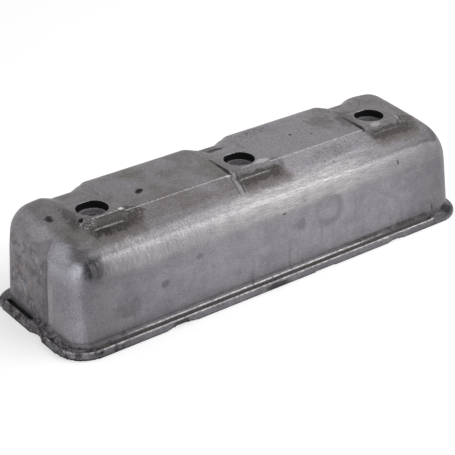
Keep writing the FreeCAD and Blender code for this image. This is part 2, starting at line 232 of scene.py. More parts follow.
def rough_break(points, normals, share):
    """The break is ragged: crumbs, steps and one deep pit."""
    moved = points.copy()
    for index in np.flatnonzero(share > 0.02):
        spot = Vector(points[index])
        step = noise.fractal(spot * 380.0, 0.7, 2.3, 4) * 0.0011
        crumb = noise.noise(spot * 1100.0) * 0.0006
        moved[index] += normals[index] * share[index] * (step + crumb - 0.0004)
    away = np.hypot(points[:, 0] - BREAK_PIT[0], points[:, 1] - BREAK_PIT[1])
    moved[:, 2] -= bell(away, 0.0026) * 0.0022 * (points[:, 2] > 0.090)
    return moved


def seam_place(points):
    """How far each point is along the seam (0 to 1) and to its side."""
    start, end = np.array(SEAM_START), np.array(SEAM_END)
    run = end - start
    reach = np.hypot(*run)
    relative = points[:, :2] - start
    along = relative @ run / reach ** 2
    side = (relative[:, 0] * run[1] - relative[:, 1] * run[0]) / reach
    return along, side


def raise_seam(points, normals):
    """A raised seam beside the middle pad, from the crease down the front slope."""
    along, side = seam_place(points)
    ridge = bell(side, 0.0024) ** 0.5
    ridge = ridge * smooth_step(-0.05, 0.08, along) * smooth_step(1.02, 0.80, along)
    groove = bell(np.abs(side) - 0.0028, 0.0010)
    groove = groove * smooth_step(-0.05, 0.05, along) * smooth_step(1.0, 0.8, along)
    lift = (ridge * SEAM_HEIGHT - groove * 0.0005) * (points[:, 2] > 0.080)
    return points + normals * lift[:, None]


def foot_groove(points):
    """A narrow groove in the flange round the foot of the front left wall corner."""
    dx, dy = points[:, 0] - WALL_CORNER[0], points[:, 1] - WALL_CORNER[1]
    radius = np.hypot(dx, dy)
    turn = np.degrees(np.arctan2(-dy, -dx))
    arc = bell(radius - 0.0214, 0.0014) * smooth_step(-16, -6, turn) * smooth_step(78, 60, turn)
    level = (points[:, 2] > 0.0058) & (points[:, 2] < 0.0092)
    points[:, 2] -= 0.0016 * arc * level
    return points


def crease_line(z):
    """Y of the upright crease on the left end wall, at a height."""
    return -0.0160 + 0.0045 * smooth_step(0.062, 0.090, z)


def wall_crease(points, normals):
    """The left end wall turns into its front corner at an upright crease, with a narrow groove."""
    x, y, z = points.T
    on_end = (x < LOW.x + 0.0210) * smooth_step(0.009, 0.016, z) * smooth_step(0.093, 0.084, z)
    groove = bell(y - crease_line(z), 0.0017) * on_end * (normals[:, 0] < -0.4)
    points = points - normals * (groove * CREASE_DEPTH)[:, None]
    turn = np.clip((crease_line(z) - y) / 0.034, 0.0, 1.0) * smooth_step(-0.150, -0.200, x)
    rise = smooth_step(0.010, 0.030, z) * smooth_step(0.097, 0.080, z)
    points[:, 0] += CORNER_TURN * turn * rise
    return points


def flash_lump(points, normals):
    """A rough lump of flash on the flange beside the left end wall."""
    x, y, z = points.T
    share = smooth_step(LOW.x + 0.0120, LOW.x + 0.0085, x) * smooth_step(0.008, 0.003, y)
    share *= smooth_step(-0.030, -0.020, y) * smooth_step(0.0030, 0.0055, z) * (z < 0.0120)
    moved = points.copy()
    for index in np.flatnonzero(share > 0.02):
        height = noise.fractal(Vector(points[index]) * 260.0, 0.8, 2.1, 3) * 0.0012
        moved[index] += normals[index] * share[index] * (height - 0.0004)
    return moved


def pits(points):
    """Small gas pits in the roof."""
    for x, y, radius, depth in PITS:
        reach = np.hypot(points[:, 0] - x, (points[:, 1] - y) * 1.3)
        points[:, 2] -= bell(reach, radius) * depth * (points[:, 2] > 0.078)
    return points


def inside_share(points, normals):
    """1 on the walls of the hollow, 0 on the outside."""
    axis = np.stack([
        np.clip(points[:, 0], -0.15, 0.15),
        np.zeros(len(points)),
        np.minimum(points[:, 2], 0.045),
    ], axis=1)
    inward = axis - points
    inward /= np.maximum(np.linalg.norm(inward, axis=1, keepdims=True), 1e-6)
    facing = (inward * normals).sum(1)
    walls = (np.abs(points[:, 0]) < 0.2125) & (np.abs(points[:, 1]) < 0.0625)
    roof = points[:, 2] < 0.0945
    return smooth_step(0.05, 0.35, facing) * walls * roof


def wave_tree():
    """Geometry nodes that give the skin the slow unevenness of a sand casting."""
    tree = bpy.data.node_groups.new("cast_unevenness", "GeometryNodeTree")
    face = tree.interface
    face.new_socket("Geometry", in_out="INPUT", socket_type="NodeSocketGeometry")
    height = face.new_socket("Height", in_out="INPUT", socket_type="NodeSocketFloat")
    finish = face.new_socket("Finish", in_out="INPUT", socket_type="NodeSocketMaterial")
    face.new_socket("Geometry", in_out="OUTPUT", socket_type="NodeSocketGeometry")
    nodes, links = tree.nodes, tree.links
    start, end = nodes.new("NodeGroupInput"), nodes.new("NodeGroupOutput")
    free = nodes.new("GeometryNodeInputNamedAttribute")
    free.data_type = "FLOAT"
    free.inputs["Name"].default_value = "free"
    total = 0.0
    for scale, share in WAVES:
        grain = nodes.new("ShaderNodeTexNoise")
        grain.inputs["Scale"].default_value = scale
        grain.inputs["Detail"].default_value = 2.0
        level = math_node(tree, "MULTIPLY_ADD", grain.outputs["Fac"], share, -0.5 * share)
        total = math_node(tree, "ADD", total, level)
    total = math_node(tree, "MULTIPLY", total, free.outputs["Attribute"])
    total = math_node(tree, "MULTIPLY", total, start.outputs["Height"])

    normal = nodes.new("GeometryNodeInputNormal")
    push = nodes.new("ShaderNodeVectorMath")
    push.operation = "SCALE"
    links.new(normal.outputs["Normal"], push.inputs[0])
    links.new(total, push.inputs["Scale"])
    move = nodes.new("GeometryNodeSetPosition")
    links.new(start.outputs["Geometry"], move.inputs["Geometry"])
    links.new(push.outputs["Vector"], move.inputs["Offset"])
    whole = nodes.new("GeometryNodeRealizeInstances")
    links.new(move.outputs["Geometry"], whole.inputs["Geometry"])
    paint = nodes.new("GeometryNodeSetMaterial")
    links.new(whole.outputs["Geometry"], paint.inputs["Geometry"])
    links.new(start.outputs["Finish"], paint.inputs["Material"])
    links.new(paint.outputs["Geometry"], end.inputs["Geometry"])
    return tree, height.identifier, finish.identifier


def even_mesh():
    """The casting in small even faces, as an object of its own."""
    obj = merged_copy(NODE)
    remesh = obj.modifiers.new("even_mesh", "REMESH")
    remesh.mode = "VOXEL"
    remesh.voxel_size = VOXEL
    bake(obj)
    return obj


def work_skin(mesh, edges):
    """Blunt the edges, then add the pits, the grooves, the break, the seam and the lump."""
    points = points_of(mesh)
    keep_flat = (points[:, 2] < CUT_FACE).astype(float)
    points = soften(points, edges, keep_flat)
    points = pits(foot_groove(ease_ends(points)))
    place(mesh, points)
    normals = normals_of(mesh)
    broken = break_share(points)
    store(mesh, "broken", broken)
    points = rough_break(points, normals, broken)
    for change in (raise_seam, wall_crease, flash_lump):
        points = change(points, normals)
    place(mesh, points)
    return points


def store_bends(mesh, edges, points, normals):
    """Keep where the form stands out (edge) and where it lies back (hollow)."""
    rounded = points
    for _ in range(BEND_TURNS):
        rounded = neighbour_mean(edges, rounded)
    bend = ((rounded - points) * normals).sum(1)
    for _ in range(2):
        bend = neighbour_mean(edges, bend[:, None])[:, 0]
    store(mesh, "edge", np.clip(-bend / FULL_BEND, 0.0, 1.0))
    store(mesh, "hollow", np.clip(bend / FULL_BEND, 0.0, 1.0))


def make_uneven(obj, finish_of_walls):
    """Give the skin its waves and the finish of the walls."""
    waves = obj.modifiers.new("unevenness", "NODES")
    waves.node_group, height, finish = wave_tree()
    waves[height] = SKIN_WAVE
    waves[finish] = finish_of_walls
    bake(obj)


def thin_faces(obj):
    """Bring the mesh down to the triangles that one piece may have."""
    triangles = 2 * len(obj.data.polygons)
    if triangles > TRIANGLES:
        thin = obj.modifiers.new("fewer_faces", "DECIMATE")
        thin.ratio = TRIANGLES / triangles
        bake(obj)


def paint_roof(mesh, finish):
    """Faces above the roof line get the finish of the roof."""
    mesh.materials.append(finish)
    centres = np.empty(len(mesh.polygons) * 3, np.float32)
    mesh.polygons.foreach_get("center", centres)
    mesh.polygons.foreach_set("material_index", (centres[2::3] > ROOF_LINE).astype(np.int32))


def cast_skin(walls, roof):
    """The casting with blunt edges, its damage and its uneven skin."""
    obj = even_mesh()
    edges = edges_of(obj.data)
    points = work_skin(obj.data, edges)
    normals = normals_of(obj.data)
    store_bends(obj.data, edges, points, normals)
    inside = inside_share(points, normals)
    store(obj.data, "inside", inside)
    free = smooth_step(0.0008, 0.0040, points[:, 2]) * (1.0 - 0.5 * inside)
    store(obj.data, "free", free)
    make_uneven(obj, walls)
    thin_faces(obj)
    mesh = obj.data
    place(mesh, np.clip(points_of(mesh), np.array(LOW), np.array(HIGH)))
    mesh.polygons.foreach_set("use_smooth", [True] * len(mesh.polygons))
    paint_roof(mesh, roof)
    mesh.update()
    return obj


# ---------------------------------------------------------------- finishes

# Oil spots on the roof, in x and y.
SPOTS = ((-0.1057, 0.0032), (-0.1087, 0.0011), (-0.1924, 0.0113), (-0.1927, 0.0070))

# A finish is a colour, a share of metal and a roughness.
METAL = ((0.190, 0.181, 0.199), 0.92, 0.46)
METAL_LIGHT = (0.300, 0.284, 0.306)
# Worn bright metal, lightened further as a painted highlight on the shoulder.
RUBBED_SHEEN = ((0.50, 0.48, 0.475), 1.0, 0.30)
WORN = ((0.70, 0.68, 0.66), 1.0, 0.26)
PALE = ((0.42, 0.41, 0.415), 0.95, 0.38)
# Cool light colour, a painted highlight.
COOL_HIGHLIGHT = ((0.36, 0.36, 0.40), 0.95, 0.34)
FILM = ((0.142, 0.128, 0.121), 0.50, 0.60)
MAUVE = ((0.100, 0.090, 0.102), 0.40, 0.62)
GRIME = ((0.074, 0.066, 0.064), 0.25, 0.72)
# Near black, painted shade on the walls of the recesses.
RECESS_SHADE = ((0.0030, 0.0025, 0.0030), 0.0, 0.90)
SOOT = ((0.012, 0.011, 0.012), 0.0, 0.85)
OIL_FILM = ((0.085, 0.066, 0.045), 0.55, 0.55)
BROWN = ((0.205, 0.160, 0.145), 0.55, 0.60)
SMUDGE = ((0.020, 0.020, 0.026), 0.10, 0.60)
MACHINED = ((0.46, 0.455, 0.46), 1.0, 0.30)

# Patches of a finish: finish, middle, reach, unevenness of the edge, thickness.
BOSS_PATCHES = (
    (GRIME, (STUDS[0] - 0.0215, 0.0040, 0.0970), (0.0050, 0.0200, 0.0200), 1.1, 0.65),
    (GRIME, (STUDS[0] - 0.0260, -0.0120, 0.0940), (0.0060, 0.0120, 0.0200), 1.1, 0.70),
    (GRIME, (STUDS[2] - 0.0245, 0.0055, 0.0970), (0.0120, 0.0170, 0.0200), 1.0, 0.60),
    (SOOT, (STUDS[1] - 0.0028, 0.0330, 0.0940), (0.0120, 0.0050, 0.0200), 0.9, 0.75),
    (MAUVE, (STUDS[2] - 0.0180, 0.0200, 0.0960), (0.0120, 0.0080, 0.0200), 0.5, 0.55),
    (GRIME, (STUDS[1] - 0.0100, 0.0420, 0.0920), (0.0200, 0.0090, 0.0200), 0.5, 0.45),
)
# Light places on the pads: the first two are painted highlights on the worn front edges of the first
# two pads, the others worn patches.
PAD_WEAR_AND_HIGHLIGHTS = (
    (WORN, (STUDS[0] + 0.0180, -0.0165, 0.0973), (0.0032, 0.0022, 0.0040), 0.5, 0.95),
    (PALE, (STUDS[1] + 0.0140, -0.0160, 0.0973), (0.0100, 0.0042, 0.0040), 0.5, 0.85),
    (PALE, (STUDS[2] - 0.0090, -0.0185, 0.0970), (0.0075, 0.0040, 0.0060), 0.5, 0.50),
    (PALE, (STUDS[2] + 0.0200, -0.0180, 0.0950), (0.0030, 0.0075, 0.0100), 0.5, 0.45),
)
# Bright knots on the crease beside the middle pad: bare metal and painted highlight.
CREASE_WEAR_AND_HIGHLIGHTS = (
    (WORN, (STUDS[1] - 0.0262, CREASE_Y - 0.0006, 0.0948), (0.0030, 0.0018, 0.0040), 0.5, 0.90),
    (PALE, (STUDS[1] - 0.0330, CREASE_Y - 0.0002, 0.0950), (0.0050, 0.0016, 0.0040), 0.5, 0.70),
)
CORNER_PATCHES = (
    (MAUVE, (-0.1800, -0.0560, 0.0700), (0.0180, 0.0200, 0.0110), 0.8, 0.28),
    (MAUVE, (-0.1969, -0.0310, 0.0900), (0.0080, 0.0130, 0.0100), 0.6, 0.45),
    (MAUVE, (-0.1945, -0.0450, 0.0850), (0.0100, 0.0090, 0.0080), 0.6, 0.40),
    (PALE, (-0.2060, 0.0060, 0.0870), (0.0120, 0.0200, 0.0090), 0.8, 0.30),
    # The next two are the cool painted highlight at the top of the front left corner.
    (COOL_HIGHLIGHT, (-0.2070, -0.0300, 0.0840), (0.0140, 0.0160, 0.0110), 0.5, 0.60),
    (COOL_HIGHLIGHT, (-0.2042, -0.0490, 0.0752), (0.0080, 0.0080, 0.0090), 0.2, 0.90),
)
FRONT_STAINS = (
    (MAUVE, (-0.1244, -0.0603, 0.0389), (0.0055, 0.0200, 0.0045), 0.5, 0.55),
    (MAUVE, (-0.0870, -0.0589, 0.0525), (0.0050, 0.0200, 0.0040), 0.5, 0.45),
    (MAUVE, (-0.1640, -0.0600, 0.0300), (0.0160, 0.0200, 0.0110), 0.9, 0.35),
    (MAUVE, (0.0231, -0.0594, 0.0476), (0.0090, 0.0200, 0.0070), 0.7, 0.35),
)
FRONT_NICKS = (
    (GRIME, (0.1852, -0.0627, 0.0146), (0.0012, 0.0040, 0.0050), 0.2, 0.90),
    (SOOT, (0.1442, -0.0556, 0.0715), (0.0016, 0.0060, 0.0034), 0.4, 0.80),
    (GRIME, (0.0064, -0.0578, 0.0625), (0.0030, 0.0060, 0.0016), 0.6, 0.85),
)
RIGHT_FOOT = (
    (SOOT, (0.2045, -0.0650, 0.0085), (0.0140, 0.0070, 0.0060), 0.7, 0.70),
    (GRIME, (0.1802, -0.0725, 0.0047), (0.0010, 0.0040, 0.0040), 0.2, 0.80),
)
EDGE_BITE = (-0.0120, -0.0725, 0.0030)
STAIN_RING = (0.0575, -0.0590, 0.0525)

# Dirt to the right of each pad: reach in x, reach in y, thickness.
SIDE_DIRT = ((0.013, 0.014, 0.95), (0.009, 0.012, 0.50), (0.014, 0.018, 0.75))


class Recipe:
    """Adds nodes to one material's tree, so that a finish reads in order."""

    def __init__(self, name):
        self.material = bpy.data.materials.new(name)
        self.material.use_nodes = True
        self.tree = self.material.node_tree
        self.shader = self.tree.nodes["Principled BSDF"]
        self.read_places()
        self.make_noises()
        self.colour, self.metal, self.rough = METAL

    def read_places(self):
        """Where a point is: on the casting, from the nearest stud, and which boss it is at."""
        self.place = self.node("ShaderNodeTexCoord").outputs["Object"]
        self.x, self.y, self.z = self.node("ShaderNodeSeparateXYZ", {0: self.place}).outputs
        normal = self.node("ShaderNodeNewGeometry").outputs["Normal"]
        self.up = self.node("ShaderNodeSeparateXYZ", {0: normal}).outputs[2]
        self.off = self.math("WRAP", self.x, PITCH / 2, -PITCH / 2)
        square = self.math("ADD", self.times(self.off, self.off), self.times(self.y, self.y))
        self.from_stud = self.math("SQRT", square)
        self.first = self.step(self.x, STUDS[0] + 0.060, STUDS[0] + 0.058)
        self.third = self.step(self.x, STUDS[2] - 0.060, STUDS[2] - 0.058)
        self.on_roof = self.step(self.z, 0.0800, 0.0820)

    def make_noises(self):
        """Unevenness that many coats share, from wide clouds to fine dots."""
        self.cloud = self.noise(22.0, 4.0, 0.6)
        self.mottle = self.noise(95.0, 5.0, 0.62)
        self.grain = self.noise(720.0, 2.0, 0.7)
        self.ragged = self.math("MULTIPLY_ADD", self.noise(170.0, 5.0, 0.65), 2.0, -1.0)
        self.dots = self.noise(430.0, 2.0, 0.6)

    def node(self, kind, inputs=None, **settings):
        made = self.tree.nodes.new(kind)
        for name, setting in settings.items():
            setattr(made, name, setting)
        for socket, source in (inputs or {}).items():
            self.feed(made.inputs[socket], source)
        return made

    def feed(self, socket, source):
        if isinstance(source, bpy.types.NodeSocket):
            self.tree.links.new(source, socket)
        elif isinstance(source, tuple) and socket.type == "RGBA":
            socket.default_value = (*source, 1.0)
        else:
            socket.default_value = source

    def math(self, operation, *terms):
        return math_node(self.tree, operation, *terms)

    def without(self, share):
        return self.math("SUBTRACT", 1.0, share)

    def times(self, *terms):
        total = terms[0]
        for term in terms[1:]:
            total = self.math("MULTIPLY", total, term)
        return total

    def most(self, *terms):
        total = terms[0]
        for term in terms[1:]:
            total = self.math("MAXIMUM", total, term)
        return total

    def noise(self, scale, detail=3.0, roughness=0.55, vector=None):
        made = self.node("ShaderNodeTexNoise", {"Vector": vector or self.place, "Scale": scale})
        self.feed(made.inputs["Detail"], detail)
        self.feed(made.inputs["Roughness"], roughness)
        return made.outputs["Fac"]

    def drawn_out(self, *scale):
        """Noise with its own scale along each axis."""
        vector = self.node("ShaderNodeMapping", {"Vector": self.place, "Scale": scale}).outputs[0]
        return self.noise(1.0, 2.0, 0.6, vector)

    def step(self, value, low, high):
        """0 below low and 1 above high, smooth between; low may be above high."""
        inputs = {"Value": value, "From Min": low, "From Max": high}
        made = self.node("ShaderNodeMapRange", inputs, interpolation_type="SMOOTHSTEP")
        return made.outputs["Result"]

    def window(self, value, low, high, soft):
        """1 between low and high, 0 a soft width outside them."""
        return self.times(self.step(value, low - soft, low), self.step(value, high + soft, high))

    def blot(self, centre, reach, wander=0.5):
        """1 in the middle of a blot with an uneven edge, 0 outside its reach."""
        away = self.vector("SUBTRACT", self.place, centre).outputs[0]
        scaled = self.vector("MULTIPLY", away, tuple(1.0 / r for r in reach)).outputs[0]
        far = self.vector("LENGTH", scaled).outputs["Value"]
        return self.step(self.math("MULTIPLY_ADD", self.ragged, wander, far), 1.0, 0.45)

    def vector(self, operation, *terms):
        return self.node("ShaderNodeVectorMath", dict(enumerate(terms)), operation=operation)

    def kept(self, name):
        """A number that is kept on the mesh."""
        return self.node("ShaderNodeAttribute", attribute_name=name).outputs["Fac"]

    def blend(self, share, first, second):
        """A colour between two others."""
        made = self.node("ShaderNodeMix", {0: share, 6: first, 7: second}, data_type="RGBA")
        return made.outputs[2]

    def lean(self, share, first, second):
        """A number between two others."""
        made = self.node("ShaderNodeMix", {0: share, 2: first, 3: second}, data_type="FLOAT")
        return made.outputs[0]

    def coat(self, finish, *shares):
        """Lay a finish over what is there, as thick as the product of the shares."""
        share = self.times(*shares)
        colour, metal, rough = finish
        self.colour = self.blend(share, self.colour, colour)
        self.metal = self.lean(share, self.metal, metal)
        self.rough = self.lean(share, self.rough, rough)

    def patches(self, table):
        """Lay on a table of patches."""
        for finish, centre, reach, wander, thickness in table:
            self.coat(finish, self.blot(centre, reach, wander), thickness)

    def shade(self, factor):
        """Make the colour darker or lighter by a factor."""
        inputs = {"Color": self.colour, "Value": factor}
        self.colour = self.node("ShaderNodeHueSaturation", inputs).outputs[0]


def bare_metal_and_painted_light(r):
    """Mottled grey metal, a little darker towards the left; painted shade on the left end behind its
    crease and on the front wall beside the left corner, and painted light on the front slope of the
    roof.
    """
    spread = r.math("MULTIPLY_ADD", r.mottle, 0.55, r.times(r.cloud, 0.45))
    r.colour = r.blend(r.step(spread, 0.24, 0.76), METAL[0], METAL_LIGHT)
    r.rough = r.math("MULTIPLY_ADD", r.mottle, 0.20, 0.36)
    r.shade(r.lean(r.step(r.x, -0.200, -0.030), 0.94, 1.06))
    # Painted shade: the flat left end behind the crease is darker.
    on_end = r.step(r.x, LOW.x + 0.0215, LOW.x + 0.0185)
    behind_crease = r.step(r.y, -0.0170, -0.0150)
    r.shade(r.lean(r.times(on_end, behind_crease), 1.0, 0.84))
    # Painted shade: the front wall just right of the left corner is darker.
    corner = r.times(r.step(r.x, -0.2044, -0.2026), r.step(r.x, -0.150, -0.200))
    corner = r.times(corner, r.step(r.y, -0.052, -0.056))
    r.shade(r.lean(corner, 1.0, 0.80))
    # Painted light: the front slope of the roof is lighter.
    slope = r.times(r.window(r.y, -0.043, -0.020, 0.003), r.step(r.z, 0.080, 0.084))
    slope = r.times(slope, r.step(r.x, -0.13, 0.03))
    r.shade(r.lean(slope, 1.0, 1.22))


def grained(r, worn_sheen):
    """Fine grain over everything, weaker on the smooth front wall and on the worn, highlighted band
    of the shoulder.
    """
    roof = r.step(r.up, 0.30, 0.70)
    left = r.step(r.x, -0.17, -0.205)
    depth = r.most(r.times(roof, 0.80), r.times(left, 0.60), 0.42)
    depth = r.times(depth, r.lean(worn_sheen, 1.0, 0.70))
    grain = r.math("SUBTRACT", r.grain, 0.5)
    r.shade(r.math("MULTIPLY_ADD", grain, r.times(depth, 2.0), 1.0))


def roof_film(r):
    """A brownish film on the roof, thicker on the left panel and at both ends."""
    flat = r.step(r.up, 0.80, 0.97)
    spread = r.math("MULTIPLY_ADD", r.cloud, 0.8, r.times(r.mottle, 0.5))
    along = r.most(r.step(r.x, 0.030, -0.030), r.step(r.x, 0.095, 0.125), 0.30)
    r.coat(FILM, flat, r.step(spread, 0.42, 0.80), along, 0.85)
    stain = r.step(r.noise(60.0, 6.0, 0.7), 0.56, 0.72)
    r.coat(GRIME, flat, stain, r.step(r.dots, 0.42, 0.58), along, 0.55)
    dark_dots = r.step(r.noise(310.0, 2.0, 0.5), 0.735, 0.775)
    r.coat(SOOT, r.step(r.up, 0.45, 0.80), dark_dots, 0.75)
    light_dots = r.step(r.noise(340.0, 2.0, 0.5), 0.70, 0.78)
    r.coat(PALE, flat, light_dots, 0.35)


def roof_spots(r):
    """Dirty places on the roof, oil spots, and the dirt in the gas pits."""
    r.coat(FILM, r.blot((0.1080, 0.0150, 0.0980), (0.0160, 0.0160, 0.0100), 1.2), 0.75)
    on_slope = r.blot((0.0880, -0.0300, 0.0910), (0.0300, 0.0090, 0.0100), 1.3)
    r.coat(GRIME, on_slope, r.step(r.dots, 0.28, 0.66), 0.42)
    at_scoop = r.blot((0.0420, 0.0350, 0.0970), (0.0220, 0.0080, 0.0100), 1.3)
    r.coat(GRIME, at_scoop, r.step(r.dots, 0.44, 0.60), 0.55)
    for x, y in SPOTS:
        r.coat(SOOT, r.blot((x, y, 0.096), (0.0040, 0.0036, 0.008), 1.1), 0.62)
    for x, y, radius, depth in PITS:
        reach = (radius * 1.5, radius * 1.4, 0.012)
        r.coat(SOOT, r.blot((x, y, 0.094), reach), min(0.95, depth * 950.0))


def worn_shoulder_sheen(r):
    """The turn between roof and front wall is worn to fine bright strokes, lightened further as a
    painted highlight.
    """
    height = r.times(r.step(r.y, -0.0605, -0.0560), r.step(r.z, 0.058, 0.066))
    height = r.times(height, r.step(r.up, 0.02, 0.20))
    above_left, above_right = r.step(r.y, -0.0405, -0.0465), r.step(r.y, -0.0360, -0.0470)
    above = r.lean(r.step(r.x, -0.060, 0.060), above_left, above_right)
    along = r.times(r.step(r.x, -0.198, -0.165), r.lean(r.step(r.x, -0.10, 0.02), 0.60, 1.0))
    along = r.times(along, r.lean(r.step(r.x, 0.050, 0.150), 1.0, 0.35))
    down = r.step(r.drawn_out(1150.0, 120.0, 120.0), 0.28, 0.72)
    lengthwise = r.step(r.drawn_out(90.0, 1000.0, 1000.0), 0.24, 0.76)
    strokes = r.lean(r.step(r.x, -0.110, 0.000), down, lengthwise)
    worn_sheen = r.times(height, above, along)
    thickness = r.math("MULTIPLY_ADD", strokes, 0.85, 0.17)
    r.coat(RUBBED_SHEEN, worn_sheen, thickness, r.lean(r.cloud, 0.70, 1.0))
    return worn_sheen, strokes


def scratches_and_painted_shade(r):
    """Thin scratches below the shoulder, and painted shade on the upper half of its turn and towards
    its ends.
    """
    fine = r.step(r.drawn_out(24.0, 900.0, 900.0), 0.62, 0.72)
    below = r.times(r.window(r.z, 0.052, 0.072, 0.006), r.step(r.y, -0.045, -0.050))
    r.coat(PALE, fine, below, r.step(r.x, -0.12, -0.04), 0.45)
    # Painted shade where the light falls strongest on the turn, so that the bright band sits lower.
    turning = r.times(r.window(r.up, 0.67, 0.83, 0.09), r.step(r.y, -0.030, -0.040))
    r.shade(r.lean(turning, 1.0, r.lean(r.step(r.x, 0.060, 0.140), 0.60, 0.48)))
    # Painted shade over the front of the right end.
    right = r.times(r.step(r.x, 0.120, 0.195), r.step(r.y, -0.020, -0.035))
    r.shade(r.lean(right, 1.0, 0.70))
    # Painted shade across a stretch near the left end.
    r.shade(r.lean(r.window(r.x, -0.198, -0.160, 0.012), 1.0, 0.92))


def boss_dirt_and_shadow(r):
    """Dirt below the ridge of each boss, with painted shadow just under the ridge, and dirt at its
    right side.
    """
    roof = r.step(r.z, 0.0790, 0.0820)
    side = r.math("MULTIPLY_ADD", r.ragged, 0.0090, r.off)
    front = r.math("MULTIPLY_ADD", r.ragged, 0.0070, r.y)
    wide = r.times(r.window(side, -0.018, 0.025, 0.009), r.window(front, -0.0400, -0.0280, 0.007))
    r.coat(FILM, wide, roof, 0.80)
    # Dirt and painted shadow close under the ridge, densest on the first boss.
    near = r.times(r.window(side, -0.0165, 0.0210, 0.006), r.window(front, -0.0340, -0.0270, 0.005))
    r.coat(GRIME, near, roof, r.lean(r.step(r.dots, 0.36, 0.56), 0.62, 0.95))
    dense = r.times(r.window(side, -0.0120, 0.0230, 0.006), r.window(front, -0.0345, -0.0300, 0.004))
    r.coat(SOOT, dense, roof, r.first, r.step(r.mottle, 0.38, 0.60), 0.58)
    for stud, (across, deep, thickness) in zip(STUDS, SIDE_DIRT):
        beside = r.blot((stud + 0.0265, -0.0225, 0.093), (across, deep, 0.02), 0.9)
        r.coat(GRIME, beside, r.step(r.dots, 0.30, 0.55), thickness)


def boss_facets(r):
    """The sloping facet in front of each pad is dark, most of all on the first boss."""
    across = r.window(r.off, PAD_LEFT, PAD_RIGHT, 0.0004)
    facet = r.times(across, r.window(r.y, RIDGE_Y, PAD_FRONT, 0.0004))
    facet = r.times(facet, r.step(r.z, 0.0915, 0.0925), r.step(r.kept("broken"), 0.4, 0.1))
    r.coat(GRIME, facet, r.lean(r.first, 0.42, 0.80), r.math("MULTIPLY_ADD", r.mottle, 0.6, 0.60))


def pad_step_shade(r):
    """Painted shade: the side of the step from the panel up to the pad is black on the two right
    bosses.
    """
    width = r.lean(r.step(r.y, 0.012, -0.016), 0.0003, 0.0009)
    aside = r.math("ABSOLUTE", r.math("SUBTRACT", r.off, PAD_LEFT - 0.0002))
    edge = r.math("MULTIPLY_ADD", r.ragged, 0.0010, r.math("SUBTRACT", aside, width))
    shaded_gap = r.times(r.step(edge, 0.0008, 0.0), r.window(r.y, -0.0200, 0.0130, 0.003))
    r.coat(SOOT, shaded_gap, r.step(r.z, 0.090, 0.092), r.without(r.first), 0.85)


def pad_edges(r):
    """Dotted light lines along the front edge of each pad and the ridge of its facet: worn metal and
    painted highlight.
    """
    dotted = r.step(r.dots, 0.36, 0.52)
    front = r.window(r.y, PAD_FRONT - 0.0004, PAD_FRONT + 0.0003, 0.0006)
    front = r.times(front, r.step(r.z, 0.0962, 0.0968), r.window(r.off, -0.010, 0.0190, 0.003))
    r.coat(PALE, front, r.lean(dotted, 0.15, 1.0), r.lean(r.third, 0.9, 0.40))
    ridge = r.window(r.y, RIDGE_Y - 0.0001, RIDGE_Y + 0.0001, 0.0006)
    ridge = r.times(ridge, r.window(r.z, 0.0920, 0.0932, 0.0005))
    ridge = r.times(ridge, r.window(r.off, -0.0180, 0.0110, 0.006))
    r.coat(PALE, ridge, r.lean(dotted, 0.10, 0.75), r.lean(r.third, 0.65, 0.25))


def recesses(r):
    """Each recess has a wall painted black as shade, a dull floor with turned rings and dirt at the
    front, and its bore painted dark as shade.
    """
    within = r.times(r.step(r.from_stud, RECESS + 0.0007, RECESS + 0.0002), r.on_roof)
    # Painted shade: the wall of the recess is black.
    below_pad = r.step(r.z, PAD_TOP - 0.0001, PAD_TOP - 0.0008)
    r.coat(RECESS_SHADE, within, below_pad, r.step(r.up, 0.60, 0.40), 0.97)
    floor = r.times(within, r.step(r.z, SEAT + 0.0012, SEAT + 0.0006), r.step(r.up, 0.40, 0.60))
    r.coat(MAUVE, floor, r.lean(r.first, 0.92, 0.55))
    outer_ring = r.window(r.from_stud, 0.0118, 0.0124, 0.0005)
    inner_ring = r.window(r.from_stud, 0.0092, 0.0096, 0.0005)
    r.coat(PALE, floor, r.most(outer_ring, r.times(inner_ring, 0.7)), 0.55)
    r.coat(GRIME, floor, r.step(r.mottle, 0.46, 0.60), r.step(r.y, 0.002, -0.004), 0.7)
    # Painted shade inside the stud bore.
    r.coat(SOOT, r.step(r.from_stud, 0.0060, 0.0054), r.window(r.z, 0.078, 0.0890, 0.0005), 0.95)
    bright = r.blot((STUDS[0] - 0.0098, -0.0088, SEAT), (0.0042, 0.0040, 0.0040), 0.2)
    r.coat(WORN, floor, bright, 0.8)


def bosses(r):
    """Dark facets, recesses with painted shade, worn edges with painted highlights, and the dirt and
    painted shade round them.
    """
    boss_dirt_and_shadow(r)
    boss_facets(r)
    pad_step_shade(r)
    r.patches(BOSS_PATCHES)
    pad_edges(r)
    r.patches(PAD_WEAR_AND_HIGHLIGHTS)
    recesses(r)


def panel_crease(r):
    """The crease of the roof panels is a thin dotted line of bare metal and painted highlight."""
    line = r.window(r.y, CREASE_Y - 0.0002, CREASE_Y + 0.0002, 0.0007)
    line = r.times(line, r.step(r.z, 0.0938, 0.0944))
    clear = r.without(r.window(r.off, PAD_LEFT, PAD_RIGHT, 0.0008))
    between = r.window(r.x, STUDS[0], STUDS[2], 0.001)
    r.coat(WORN, line, clear, between, r.lean(r.step(r.dots, 0.38, 0.55), 0.15, 1.0), 0.60)
    r.patches(CREASE_WEAR_AND_HIGHLIGHTS)


